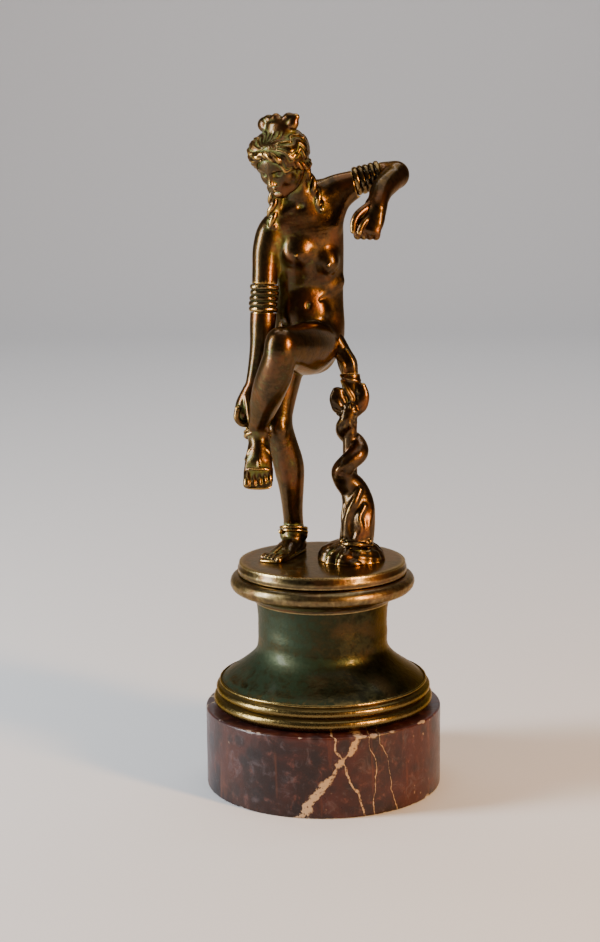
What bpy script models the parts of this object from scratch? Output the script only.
"""A cast bronze statuette on a turned socle and a marble drum, as the pieces it is assembled from.

The figure is a classical nude standing on one leg and reaching to the sandal of the other foot.
It was cast in sections: the body with its head and legs, the two lower arms, and the dolphin
support in two lengths. Dowels join the sections, and ribbed armlets cover the two arm joints.
Studs and nuts hold the figure and its support to the socle, and one rod clamps the socle and the
marble drum together.

Units are metres. The origin is the centre of the marble's underside, +Z is up and the figure
faces -Y. "Her" left and right are the figure's own.
"""

import math

import bmesh
import bpy
from mathutils import Matrix, Vector

MM = 0.001
GAP = 0.3 * MM  # between pieces that touch

# Marble drum
MARBLE_DIAMETER = 80.0 * MM
MARBLE_HEIGHT = 27.4 * MM
MARBLE_CHAMFER = 0.7 * MM
MARBLE_BORE = 7.0 * MM
RECESS_DIAMETER = 28.0 * MM
RECESS_DEPTH = 11.0 * MM

# Turned socle, from the marble up
SOCLE_WALL = 2.6 * MM
FOOT_DIAMETER = 74.4 * MM
FOOT_HEIGHT = 24.4 * MM
WAIST_DIAMETER = 44.0 * MM
WAIST_HEIGHT = 11.2 * MM
TORUS_DIAMETER = 62.6 * MM
TORUS_HEIGHT = 9.0 * MM
DISC_DIAMETER = 58.4 * MM
DISC_HEIGHT = 4.2 * MM

# Tie rod and fasteners
ROD_DIAMETER = 5.0 * MM
ROD_NUT_WIDTH = 9.0 * MM
ROD_NUT_HEIGHT = 4.0 * MM
WASHER_DIAMETER = 18.0 * MM
WASHER_THICKNESS = 1.2 * MM
BOSS_DIAMETER = 9.6 * MM
BOSS_LENGTH = 5.0 * MM
STUD_DIAMETER = 3.0 * MM
STUD_NUT_WIDTH = 6.0 * MM
STUD_NUT_HEIGHT = 2.4 * MM
STUD_EMBED = 6.0 * MM  # how far a stud goes up into the casting

# Figure, and the pieces at its joints
FIGURE_HEIGHT = 149.0 * MM
ARMLET_LENGTH = 9.0 * MM
ARMLET_BORE = 6.8 * MM
ARMLET_DIAMETER = 10.0 * MM
ARMLET_RIBS = 5
DOWEL_DIAMETER = 2.2 * MM
DOWEL_LENGTH = 8.4 * MM  # of the two in the arms
STEM_DOWEL_SPACE = 0.97 * MM  # that the two dowels of the stem leave free of the length between its joints
JOINT_SPARE = 5.0 * MM
SEAM_CUT = 5.5 * MM  # radius that clears the stem at its seam

# Levels that follow from the heights
FOOT_BOTTOM = MARBLE_HEIGHT + GAP
WAIST_BOTTOM = FOOT_BOTTOM + FOOT_HEIGHT + GAP
TORUS_BOTTOM = WAIST_BOTTOM + WAIST_HEIGHT + GAP
DISC_BOTTOM = TORUS_BOTTOM + TORUS_HEIGHT + GAP
DISC_TOP = DISC_BOTTOM + DISC_HEIGHT
SOLE = DISC_TOP + GAP

FLARE_POINTS = 6
FLARE_HOLLOW = 1.7  # 1 is a straight cone, more is a deeper cove

TURNED_SEGMENTS = 48
ROUND_SEGMENTS = 20
LOFT_SEGMENTS = 20
LOFT_STEPS = 4

# Where the castings stand and join, in the figure's own millimetres above its soles
DRAWN_HEIGHT = 149.0
UNIT = FIGURE_HEIGHT / DRAWN_HEIGHT  # metres in one drawn millimetre
HEEL = (-8.6, 11.2, 0)
MOUND = (9.4, 0, 0)
RIGHT_ARM_JOINT = (-18.5, -3.0, 88.5)
RIGHT_ARM_AXIS = (-0.055, -0.10, -0.99)
LEFT_ARM_JOINT = (15.8, 1.9, 127.0)
LEFT_ARM_AXIS = (0.966, 0.018, 0.24)
SUPPORT_SEAM = (10.2, 2.9, 62.6)
SUPPORT_AXIS = (0.0, 0.05, 1.0)
HIP_JOINT = (6.4, 4.6, 71.0)
HIP_AXIS = (-0.62, 0.14, 0.77)
STEM_DOWEL_LENGTH = math.dist(SUPPORT_SEAM, HIP_JOINT) * UNIT - STEM_DOWEL_SPACE


# ---------------------------------------------------------------- scene and materials

def clear_scene():
    for obj in list(bpy.data.objects):
        bpy.data.objects.remove(obj)


def new_collection(name, hidden=False):
    made = bpy.data.collections.new(name)
    bpy.context.scene.collection.children.link(made)
    made.hide_render = hidden
    return made


def material(name, colour, roughness, metallic):
    made = bpy.data.materials.new(name)
    made.use_nodes = True
    shader = made.node_tree.nodes["Principled BSDF"]
    shader.inputs["Base Color"].default_value = (*colour, 1)
    shader.inputs["Roughness"].default_value = roughness
    shader.inputs["Metallic"].default_value = metallic
    made.diffuse_color = (*colour, 1)
    return made


def add_object(name, mesh, finish=None):
    obj = bpy.data.objects.new(name, mesh)
    if finish is None:
        CUTTERS.objects.link(obj)
        obj.hide_render = True
        obj.display_type = "WIRE"
    else:
        PARTS.objects.link(obj)
        mesh.materials.append(finish)
    return obj


def mesh_from(name, build):
    """A new mesh that build fills through a bmesh."""
    mesh = bpy.data.meshes.new(name)
    shape = bmesh.new()
    build(shape)
    bmesh.ops.recalc_face_normals(shape, faces=shape.faces)
    shape.to_mesh(mesh)
    shape.free()
    return mesh


# ---------------------------------------------------------------- turned and straight shapes

def arc(centre_x, centre_z, radius, start, end, steps):
    """Points on an arc in the profile plane, its angles in degrees from +X towards +Z."""
    points = []
    for step in range(steps + 1):
        angle = math.radians(start + (end - start) * step / steps)
        points.append((centre_x + radius * math.cos(angle), centre_z + radius * math.sin(angle)))
    return points


def turned(name, profile, finish, segments=TURNED_SEGMENTS, closed=True):
    """A profile of (radius, height) points turned about Z. It runs down the outer side."""
    mesh = bpy.data.meshes.new(name)
    edges = [(i, i + 1) for i in range(len(profile) - 1)]
    if closed:
        edges.append((len(profile) - 1, 0))
    mesh.from_pydata([(x, 0, z) for x, z in profile], edges, [])
    obj = add_object(name, mesh, finish)
    screw = obj.modifiers.new("turn", "SCREW")
    screw.axis = "Z"
    screw.steps = segments
    screw.render_steps = segments
    screw.use_merge_vertices = True
    screw.merge_threshold = 0.00001
    screw.use_smooth_shade = True
    return obj


def cylinder(name, radius, bottom, top, finish=None, segments=ROUND_SEGMENTS):
    def build(shape):
        bmesh.ops.create_cone(shape, cap_ends=True, segments=segments, radius1=radius,
                              radius2=radius, depth=top - bottom,
                              matrix=Matrix.Translation((0, 0, (top + bottom) / 2)))
    return add_object(name, mesh_from(name, build), finish)


def block(name, size, centre):
    def build(shape):
        bmesh.ops.create_cube(shape, size=1, matrix=Matrix.Translation(centre)
                              @ Matrix.Diagonal((*size, 1)))
    return add_object(name, mesh_from(name, build))


def set_on_axis(obj, place, axis=(0, 0, 1)):
    obj.location = place
    obj.rotation_mode = "QUATERNION"
    obj.rotation_quaternion = Vector((0, 0, 1)).rotation_difference(Vector(axis).normalized())
    return obj


def combine(obj, other, operation="DIFFERENCE"):
    boolean = obj.modifiers.new(other.name, "BOOLEAN")
    boolean.operation = operation
    boolean.object = other
    return obj


def nut(name, width, height, bore, finish):
    """A hexagon nut with its underside at its own origin."""
    body = cylinder(name, width / math.sqrt(3), 0, height, finish, 6)
    hole = cylinder(name + "_bore", bore / 2, -height, 2 * height)
    hole.parent = body
    return combine(body, hole)


# ---------------------------------------------------------------- cast shapes

def in_figure(point):
    """A point in the figure's drawn millimetres, as a world position."""
    return Vector(point) * UNIT + Vector((0, 0, SOLE))


def curve_through(rows, position):
    """Catmull-Rom value between rows of numbers, with position counted in rows."""
    low = min(int(position), len(rows) - 2)
    part = position - low
    before, start, end, after = (rows[max(0, min(len(rows) - 1, low + i))] for i in (-1, 0, 1, 2))
    values = []
    for a, b, c, d in zip(before, start, end, after):
        bend = 2 * b + (c - a) * part + (2 * a - 5 * b + 4 * c - d) * part ** 2
        values.append((bend + (3 * b - a - 3 * c + d) * part ** 3) / 2)
    return values


def loft(shape, side, sections, grow=0.0):
    """A closed tube through elliptical sections (x, y, z, half width, half depth), in drawn mm."""
    count = (len(sections) - 1) * LOFT_STEPS
    rows = [curve_through(sections, step / LOFT_STEPS) for step in range(count + 1)]
    rings = []
    for index, row in enumerate(rows):
        ahead = Vector(rows[min(index + 1, count)][:3])
        behind = Vector(rows[max(index - 1, 0)][:3])
        along = (ahead - behind).normalized()
        across = (Vector(side) - along * along.dot(Vector(side))).normalized()
        up = along.cross(across)
        ring = []
        for turn in range(LOFT_SEGMENTS):
            angle = 2 * math.pi * turn / LOFT_SEGMENTS
            offset = across * (row[3] + grow) * math.cos(angle) + up * (row[4] + grow) * math.sin(angle)
            ring.append(shape.verts.new(in_figure(Vector(row[:3]) + offset)))
        rings.append(ring)
    for lower, upper in zip(rings[:-1], rings[1:]):
        for i in range(LOFT_SEGMENTS):
            j = (i + 1) % LOFT_SEGMENTS
            shape.faces.new((lower[i], lower[j], upper[j], upper[i]))
    shape.faces.new(rings[0][::-1])
    shape.faces.new(rings[-1])


def ball(shape, centre, radii, axis=(0, 0, 1), grow=0.0):
    """An ellipsoid in drawn mm, its third radius along axis."""
    turn = Vector((0, 0, 1)).rotation_difference(Vector(axis).normalized()).to_matrix().to_4x4()
    size = Matrix.Diagonal([(radius + grow) * UNIT for radius in radii] + [1])
    bmesh.ops.create_uvsphere(shape, u_segments=16, v_segments=10, radius=1,
                              matrix=Matrix.Translation(in_figure(centre)) @ turn @ size)


def cast(name, limbs, balls, finish=None, voxel=0.6, keep=0.2, grow=0.0):
    """One casting: its limbs and balls fused, smoothed and thinned to the share of faces in keep."""
    def build(shape):
        for side, sections in limbs:
            loft(shape, side, sections, grow)
        for centre, radii, axis in balls:
            ball(shape, centre, radii, axis, grow)
    obj = add_object(name, mesh_from(name, build), finish)
    remesh = obj.modifiers.new("fuse", "REMESH")
    remesh.mode = "VOXEL"
    remesh.voxel_size = voxel * UNIT
    remesh.use_smooth_shade = True
    smooth = obj.modifiers.new("smooth", "SMOOTH")
    smooth.factor = 0.5
    smooth.iterations = 4
    thin = obj.modifiers.new("thin", "DECIMATE")
    thin.ratio = keep
    return obj


# ---------------------------------------------------------------- the figure's limbs, in drawn mm

ACROSS = (1, 0, 0)
HEAD_SIDE = (0.82, -0.57, 0)

TORSO = ((1.0, 0.22, 0), [
    (-2.8, 6.5, 68.5, 8.0, 6.5), (-2.8, 6.6, 72.5, 10.2, 7.6), (-2.9, 6.6, 77.5, 11.2, 7.8),
    (-2.7, 6.0, 82.5, 11.0, 7.0), (-2.6, 5.2, 88.0, 10.6, 6.1), (-2.7, 4.4, 93.5, 10.5, 5.8),
    (-2.9, 3.2, 99.5, 10.9, 6.4), (-3.2, 2.0, 105.5, 11.4, 6.9), (-3.6, 0.8, 111.5, 11.6, 6.8),
    (-4.4, -0.6, 117.5, 10.8, 5.8), (-5.2, -1.8, 122.5, 8.0, 4.6)])
NECK = (ACROSS, [
    (-5.2, -1.0, 118.5, 6.4, 4.8), (-6.2, -2.6, 123.0, 4.5, 3.9), (-8.0, -4.6, 127.0, 4.1, 3.8),
    (-9.2, -6.2, 130.5, 4.4, 4.4)])
HAIR = (HEAD_SIDE, [
    (-9.0, -4.0, 134.5, 3.5, 3.5), (-9.9, -5.2, 134.8, 7.6, 6.4), (-12.2, -7.4, 136.2, 9.9, 8.2),
    (-14.2, -10.2, 136.2, 9.4, 7.2), (-15.8, -12.6, 135.8, 6.4, 4.4), (-16.3, -13.6, 135.6, 3.0, 2.2)])
FACE = (HEAD_SIDE, [
    (-13.6, -9.6, 137.5, 5.0, 5.0), (-13.2, -10.2, 133.0, 6.3, 6.0), (-13.0, -10.8, 128.8, 6.0, 5.6),
    (-13.2, -11.6, 125.0, 4.4, 4.4), (-13.4, -12.2, 122.6, 2.2, 2.6)])
TOPKNOT = (HEAD_SIDE, [
    (-11.6, -9.4, 141.0, 5.6, 4.2), (-12.0, -10.2, 144.2, 6.4, 3.4), (-12.4, -10.8, 146.4, 7.4, 2.8),
    (-12.4, -11.0, 148.0, 6.2, 1.8)])
STANDING_THIGH = (ACROSS, [
    (-8.4, 6.6, 77.0, 6.0, 6.8), (-9.8, 6.4, 70.5, 6.2, 7.4), (-11.4, 5.4, 62.5, 5.8, 7.0),
    (-13.2, 3.6, 54.0, 5.2, 5.8), (-14.2, 1.8, 47.0, 4.4, 4.6), (-14.2, 1.6, 43.0, 4.2, 4.3)])
STANDING_SHIN = (ACROSS, [
    (-14.2, 1.6, 45.0, 4.3, 4.2), (-12.9, 3.4, 38.0, 4.7, 4.5), (-11.3, 5.6, 31.0, 5.2, 5.0),
    (-10.4, 7.2, 24.0, 4.9, 4.6), (-9.7, 9.0, 17.0, 4.1, 3.7), (-9.2, 10.6, 10.5, 3.8, 3.5),
    (-9.0, 11.2, 7.0, 4.3, 4.1)])
STANDING_FOOT = ((0.8, -0.6, 0), [
    (-7.3, 13.8, 3.2, 2.6, 2.8), (-8.2, 11.8, 3.9, 3.7, 4.2), (-10.4, 8.4, 3.6, 4.0, 3.6),
    (-13.2, 3.6, 2.2, 4.3, 2.4), (-16.0, -0.8, 1.4, 4.5, 1.6), (-18.0, -3.8, 0.9, 3.6, 1.1)])
RAISED_THIGH = ((0.3, 0.0, 1.0), [
    (-0.4, 6.5, 75.6, 7.4, 6.4), (-1.4, 2.0, 74.2, 8.8, 7.2), (-3.4, -6.0, 72.6, 9.2, 7.5),
    (-6.4, -15.0, 72.6, 8.4, 7.2), (-9.8, -24.0, 73.6, 6.4, 6.0), (-12.0, -29.0, 74.2, 4.9, 5.0)])
RAISED_SHIN = (ACROSS, [
    (-12.2, -29.0, 76.6, 3.8, 3.2), (-12.6, -29.0, 72.5, 5.4, 5.0), (-13.4, -26.0, 67.0, 6.0, 5.4),
    (-15.0, -21.6, 60.5, 5.9, 5.7), (-16.9, -17.0, 54.0, 5.0, 4.8), (-18.8, -12.8, 48.5, 3.6, 3.5),
    (-19.8, -10.6, 45.1, 3.2, 3.4)])
RAISED_FOOT = (ACROSS, [
    (-20.0, -7.2, 44.8, 2.6, 2.6), (-20.0, -9.6, 43.2, 3.6, 3.8), (-20.4, -12.6, 39.6, 3.8, 3.6),
    (-20.6, -15.6, 35.5, 4.3, 2.8), (-20.6, -18.2, 31.4, 4.7, 2.1), (-20.7, -19.6, 29.4, 4.2, 1.4)])
RIGHT_UPPER_ARM = (ACROSS, [
    (-12.6, 0.0, 113.5, 4.2, 4.6), (-15.8, -0.6, 110.0, 4.7, 4.8), (-17.4, -1.4, 105.0, 4.5, 4.5),
    (-17.9, -2.2, 98.0, 4.2, 4.2), (-18.3, -2.9, 90.0, 4.1, 4.1), (-18.4, -3.2, 86.5, 4.1, 4.1)])
RIGHT_FOREARM = (ACROSS, [
    (-18.3, -2.9, 90.5, 4.1, 4.1), (-18.6, -3.2, 85.5, 4.4, 4.3), (-19.1, -4.0, 80.0, 4.2, 4.1),
    (-20.0, -4.6, 73.0, 3.5, 3.5), (-21.6, -5.0, 66.0, 2.9, 2.9), (-23.0, -5.2, 60.0, 2.4, 2.6),
    (-24.4, -5.4, 56.5, 2.4, 2.8)])
RIGHT_HAND = (ACROSS, [
    (-24.4, -5.4, 57.5, 2.3, 2.6), (-25.7, -5.2, 54.0, 2.7, 3.4), (-26.2, -5.4, 50.2, 2.4, 3.4),
    (-25.4, -5.8, 47.0, 1.9, 2.6)])
LEFT_UPPER_ARM = ((0, 0, 1), [
    (1.2, 1.6, 120.6, 6.2, 4.8), (5.4, 1.6, 122.8, 5.8, 4.6), (10.5, 1.8, 125.0, 4.9, 4.3),
    (14.5, 1.9, 126.6, 4.3, 4.1), (17.5, 2.0, 127.4, 4.1, 4.1)])
LEFT_ELBOW = ((0, 0, 1), [
    (14.0, 1.9, 126.5, 4.2, 4.1), (17.5, 2.0, 127.4, 4.1, 4.1), (21.0, 2.0, 128.1, 4.2, 4.1),
    (25.0, 1.0, 128.2, 4.2, 4.0)])
LEFT_FOREARM = ((0.5, 0, 0.86), [
    (25.6, 0.4, 127.9, 4.4, 4.0), (23.6, -3.4, 125.2, 4.1, 3.7), (21.0, -7.6, 122.0, 3.5, 3.1),
    (18.6, -11.2, 118.8, 2.8, 2.5), (17.2, -13.0, 116.8, 2.8, 2.3)])
LEFT_HAND = ((1, -0.2, 0), [
    (17.6, -12.6, 117.6, 3.0, 2.0), (16.0, -14.0, 114.2, 4.4, 2.4), (14.6, -14.8, 110.8, 4.6, 2.4),
    (13.8, -14.6, 109.0, 4.0, 2.0)])
STEM_MOUND = (ACROSS, [
    (9.4, 0.0, -0.8, 11.4, 11.0), (9.4, 0.0, 1.2, 10.9, 10.4), (9.4, 0.0, 3.4, 8.6, 8.0),
    (9.6, 0.2, 6.2, 5.8, 5.4)])
DOLPHIN = (ACROSS, [
    (11.0, -1.2, 3.8, 5.0, 5.0), (11.4, -1.4, 7.3, 5.6, 5.4), (12.1, -1.2, 13.0, 5.7, 5.2),
    (12.0, -0.4, 19.0, 5.2, 4.8), (10.8, 0.8, 25.0, 4.5, 4.2), (8.4, 0.4, 29.8, 3.9, 3.6),
    (8.0, -2.6, 34.0, 3.7, 3.2), (10.4, -4.0, 38.0, 3.4, 2.8), (12.2, -1.0, 41.6, 2.8, 2.6),
    (9.8, 2.2, 45.0, 2.6, 2.2), (7.6, 0.5, 48.0, 2.6, 2.0), (9.6, -1.2, 51.0, 2.4, 1.8)])
TRUNK = (ACROSS, [
    (8.2, 3.2, 0.3, 2.8, 3.2), (8.6, 2.4, 12.8, 2.6, 2.8), (9.2, 1.8, 27.0, 2.6, 2.8),
    (9.6, 1.2, 39.0, 2.4, 2.5), (9.8, 1.6, 49.0, 2.4, 2.5), (10.1, 2.2, 57.0, 2.9, 2.8),
    (10.2, 2.8, 62.0, 3.3, 3.1), (10.0, 3.2, 64.5, 3.4, 3.2)])
UPPER_STEM = (ACROSS, [
    (10.2, 2.6, 60.6, 3.3, 3.1), (10.0, 3.2, 64.5, 3.4, 3.2), (8.4, 4.0, 68.5, 3.5, 3.4),
    (5.6, 4.8, 72.5, 3.8, 3.6), (2.6, 5.4, 76.0, 4.0, 4.0)])
LEFT_FLUKE = (ACROSS, [
    (9.0, 1.2, 49.0, 2.0, 1.8), (6.6, 0.8, 51.4, 2.9, 1.8), (5.5, 0.8, 54.4, 2.7, 1.7),
    (6.1, 0.8, 57.0, 1.6, 1.5)])
RIGHT_FLUKE = (ACROSS, [
    (11.0, 1.2, 49.0, 2.0, 1.8), (13.3, 0.8, 52.0, 2.3, 1.8), (14.1, 0.8, 55.4, 2.1, 1.7),
    (13.5, 0.8, 58.0, 1.5, 1.5)])

BREASTS = [((-9.2, -5.0, 108.6), (4.8, 4.6, 4.4), (0, 0, 1)), ((2.6, -3.6, 108.4), (4.8, 4.6, 4.4), (0, 0, 1))]
BUTTOCKS = [((-8.0, 9.4, 72.5), (5.8, 6.0, 6.0), (0, 0, 1)), ((2.0, 9.8, 74.0), (5.6, 5.6, 6.0), (0, 0, 1))]
NAPE = [((-2.6, 0.2, 123.4), (5.6, 3.6, 3.4), (1, 0, -0.5)), ((-12.6, -1.8, 121.6), (3.0, 2.4, 4.0), (0, 0, 1))]
ELBOW_BALL = [((25.6, 0.4, 128.1), (4.2, 4.0, 4.2), (0, 0, 1))]


# ---------------------------------------------------------------- the pieces

def build_marble(finish):
    radius = MARBLE_DIAMETER / 2
    recess = RECESS_DIAMETER / 2
    bore = MARBLE_BORE / 2
    chamfer = MARBLE_CHAMFER
    turned("marble_base", [
        (bore, MARBLE_HEIGHT), (radius - chamfer, MARBLE_HEIGHT), (radius, MARBLE_HEIGHT - chamfer),
        (radius, chamfer), (radius - chamfer, 0), (recess, 0), (recess, RECESS_DEPTH),
        (bore, RECESS_DEPTH)], finish)


def build_socle(finish, waist_finish):
    waist = WAIST_DIAMETER / 2
    inner = waist - SOCLE_WALL
    foot = FOOT_DIAMETER / 2
    bottom = FOOT_BOTTOM
    step = FOOT_HEIGHT / 10
    outer = arc(foot - 1.3 * step, bottom + 2.9 * step, 0.8 * step, 90, -60, 4)
    outer += arc(foot - 0.9 * step, bottom + 1.2 * step, 0.9 * step, 90, -90, 4)
    reach = foot - 1.3 * step - waist
    flare = []
    for turn in range(FLARE_POINTS):
        share = turn / (FLARE_POINTS - 1)
        flare.append((waist + reach * share ** FLARE_HOLLOW, bottom + step * (10 - 5.8 * share)))
    hollow = [(foot - SOCLE_WALL - step, bottom), (foot - SOCLE_WALL - 2 * step, bottom + 2.4 * step),
              (inner + step, bottom + 4.6 * step), (inner, bottom + 6.6 * step),
              (inner, bottom + FOOT_HEIGHT)]
    turned("socle_foot", flare + outer + hollow, finish)

    turned("socle_waist", [
        (waist + 0.6 * MM, WAIST_BOTTOM + WAIST_HEIGHT), (waist, WAIST_BOTTOM + 0.6 * WAIST_HEIGHT),
        (waist, WAIST_BOTTOM), (inner, WAIST_BOTTOM), (inner, WAIST_BOTTOM + WAIST_HEIGHT)],
        waist_finish)

    torus = TORUS_DIAMETER / 2
    roll = 0.3 * TORUS_HEIGHT
    crown = DISC_BOTTOM - GAP
    outside = [(torus - roll, crown)] + arc(torus - roll, crown - roll, roll, 75, -90, 5)
    cove = [(waist + 2.2 * MM, crown - 2 * roll - 1.6 * MM), (waist + 0.8 * MM, TORUS_BOTTOM)]
    turned("socle_torus", outside + cove + [
        (inner, TORUS_BOTTOM), (inner, crown - 2 * roll), (torus - 2 * roll, crown - 0.4 * roll),
        (torus - 2 * roll, crown)], finish)

    disc = DISC_DIAMETER / 2
    boss = BOSS_DIAMETER / 2
    socket = ROD_DIAMETER / 2 + GAP
    lip = 0.5 * MM
    plate = turned("socle_top_disc", [
        (0, DISC_TOP), (disc - 2 * lip, DISC_TOP), (disc, DISC_TOP - 3 * lip),
        (disc, DISC_BOTTOM + lip), (disc - lip, DISC_BOTTOM), (boss, DISC_BOTTOM),
        (boss, DISC_BOTTOM - BOSS_LENGTH), (socket, DISC_BOTTOM - BOSS_LENGTH),
        (socket, DISC_BOTTOM + 0.4 * DISC_HEIGHT), (0, DISC_BOTTOM + 0.4 * DISC_HEIGHT)],
        finish, closed=False)
    for name, place in (("foot_stud_hole", HEEL), ("support_stud_hole", MOUND)):
        hole = cylinder(name, STUD_DIAMETER / 2 + GAP, -2 * DISC_HEIGHT, DISC_HEIGHT)
        set_on_axis(hole, in_figure(place))
        combine(plate, hole)


def build_tie_rod(finish):
    ceiling = RECESS_DEPTH - GAP
    washer = ceiling - WASHER_THICKNESS
    top = DISC_BOTTOM + 0.4 * DISC_HEIGHT - GAP
    seat = washer - GAP - ROD_NUT_HEIGHT
    cylinder("tie_rod", ROD_DIAMETER / 2, seat - 1.5 * MM, top, finish, 24)
    inside = ROD_DIAMETER / 2 + GAP
    turned("tie_rod_washer", [
        (inside, ceiling), (WASHER_DIAMETER / 2, ceiling), (WASHER_DIAMETER / 2, washer),
        (inside, washer)], finish, 32)
    nut("tie_rod_nut", ROD_NUT_WIDTH, ROD_NUT_HEIGHT, ROD_DIAMETER + 2 * GAP, finish).location.z = seat


def build_stud(name, place, finish):
    """A stud through the top disc into the casting that stands at place, with its nut below."""
    nut_bottom = DISC_BOTTOM - GAP - STUD_NUT_HEIGHT - SOLE
    stud = cylinder(name + "_stud", STUD_DIAMETER / 2, nut_bottom - 1.0 * MM, STUD_EMBED, finish, 16)
    set_on_axis(stud, in_figure(place))
    under = nut(name + "_nut", STUD_NUT_WIDTH, STUD_NUT_HEIGHT, STUD_DIAMETER + 2 * GAP, finish)
    under.location = in_figure(place) + Vector((0, 0, nut_bottom))


def cut_stud_bore(obj, place):
    hole = cylinder(obj.name + "_stud_bore", STUD_DIAMETER / 2 + GAP, -4 * MM, STUD_EMBED + GAP)
    set_on_axis(hole, in_figure(place))
    combine(obj, hole)


def cut_sole(obj):
    """Flattens what stands on the top disc, at the level of the soles."""
    combine(obj, block(obj.name + "_floor", (120 * MM, 120 * MM, 20 * MM), (0, 0, SOLE - 10 * MM)))


def cut_dowel_joint(first, second, place, axis, radius, length):
    """Parts two castings by a gap square to axis, and bores both for one dowel. Second lies along axis.

    Each was cast up to JOINT_SPARE past the joint, within radius of its axis."""
    name = first.name + "_" + second.name
    for obj, bottom, top in ((first, -GAP / 2, JOINT_SPARE), (second, -JOINT_SPARE, GAP / 2)):
        end = cylinder(obj.name + "_" + name + "_end", radius, bottom, top)
        combine(obj, set_on_axis(end, in_figure(place), axis))
    bore = dowel_bore(name + "_bore", place, axis, length)
    combine(first, bore)
    combine(second, bore)


def dowel_bore(name, place, axis, length):
    bore = cylinder(name, DOWEL_DIAMETER / 2 + GAP, -length / 2 - GAP, length / 2 + GAP)
    return set_on_axis(bore, in_figure(place), axis)


def build_dowel(name, place, axis, length, finish):
    dowel = cylinder(name, DOWEL_DIAMETER / 2, -length / 2, length / 2, finish, 12)
    set_on_axis(dowel, in_figure(place), axis)


def build_armlet(name, place, axis, finish):
    """A ribbed sleeve, its ribs as equal waves along its length."""
    outer = ARMLET_DIAMETER / 2
    depth = 0.45 * MM
    rows = [(ARMLET_BORE / 2, ARMLET_LENGTH / 2)]
    count = 4 * ARMLET_RIBS
    for step in range(count + 1):
        wave = 0.5 - 0.5 * math.cos(2 * math.pi * step / 4)
        rows.append((outer - depth * (1 - wave), ARMLET_LENGTH * (0.5 - step / count)))
    rows.append((ARMLET_BORE / 2, -ARMLET_LENGTH / 2))
    sleeve = turned(name, rows, finish, 24)
    set_on_axis(sleeve, in_figure(place), axis)


def cut_armlet_seat(obj, place, axis):
    """Turns the arm down to a spigot that the armlet slides over."""
    spigot = ARMLET_BORE / 2 - GAP
    half = ARMLET_LENGTH / 2 + GAP
    outer = ARMLET_DIAMETER / 2 + GAP
    ring = turned(obj.name + "_armlet_seat", [
        (outer, half), (outer, -half), (spigot, -half), (spigot, half)], None, 24)
    set_on_axis(ring, in_figure(place), axis)
    combine(obj, ring)


def build_figure(finish):
    body = cast("figure_body", [
        TORSO, NECK, HAIR, FACE, TOPKNOT, STANDING_THIGH, STANDING_SHIN, STANDING_FOOT,
        RAISED_THIGH, RAISED_SHIN, RAISED_FOOT, RIGHT_UPPER_ARM, LEFT_UPPER_ARM],
        BREASTS + BUTTOCKS + NAPE, finish, keep=0.040)
    right = cast("right_forearm", [RIGHT_FOREARM, RIGHT_HAND], [], finish, keep=0.075)
    left = cast("left_forearm", [LEFT_ELBOW, LEFT_FOREARM, LEFT_HAND], ELBOW_BALL, finish, keep=0.075)
    cut_sole(body)
    cut_stud_bore(body, HEEL)
    for arm, place, axis in ((right, RIGHT_ARM_JOINT, RIGHT_ARM_AXIS), (left, LEFT_ARM_JOINT, LEFT_ARM_AXIS)):
        cut_armlet_seat(body, place, axis)
        cut_armlet_seat(arm, place, axis)
        cut_dowel_joint(body, arm, place, axis, ARMLET_DIAMETER / 2 + GAP, DOWEL_LENGTH)
        side = arm.name.split("_")[0]
        build_armlet(side + "_armlet", place, axis, finish)
        build_dowel(side + "_arm_dowel", place, axis, DOWEL_LENGTH, finish)
    near_hand = cast("heel_clearance", [RAISED_SHIN, RAISED_FOOT], [], grow=0.6)
    combine(right, near_hand)
    return body


def build_support(body, finish):
    lower = cast("support_dolphin", [STEM_MOUND, DOLPHIN, TRUNK, LEFT_FLUKE, RIGHT_FLUKE], [],
                 finish, keep=0.068)
    upper = cast("support_stem", [UPPER_STEM], [], finish, keep=0.075)
    cut_sole(lower)
    cut_stud_bore(lower, MOUND)
    cut_dowel_joint(lower, upper, SUPPORT_SEAM, SUPPORT_AXIS, SEAM_CUT, STEM_DOWEL_LENGTH)
    build_dowel("support_dowel", SUPPORT_SEAM, SUPPORT_AXIS, STEM_DOWEL_LENGTH, finish)
    hip = cast("hip_clearance", [TORSO, STANDING_THIGH, RAISED_THIGH], BUTTOCKS, grow=0.6)
    combine(upper, hip)
    bore = dowel_bore("hip_bore", HIP_JOINT, HIP_AXIS, STEM_DOWEL_LENGTH)
    combine(body, bore)
    combine(upper, bore)
    build_dowel("hip_dowel", HIP_JOINT, HIP_AXIS, STEM_DOWEL_LENGTH, finish)


clear_scene()
PARTS = new_collection("bronze_statuette")
CUTTERS = new_collection("cutters", hidden=True)
BRONZE = material("bronze", (0.16, 0.09, 0.045), 0.32, 1.0)
GREEN_BRONZE = material("green_bronze", (0.10, 0.13, 0.06), 0.45, 0.9)
MARBLE = material("red_marble", (0.23, 0.035, 0.02), 0.18, 0.0)
STEEL = material("fastener_steel", (0.42, 0.41, 0.40), 0.4, 1.0)

build_marble(MARBLE)
build_socle(BRONZE, GREEN_BRONZE)
build_tie_rod(STEEL)
build_support(build_figure(BRONZE), BRONZE)
build_stud("foot", HEEL, STEEL)
build_stud("support", MOUND, STEEL)
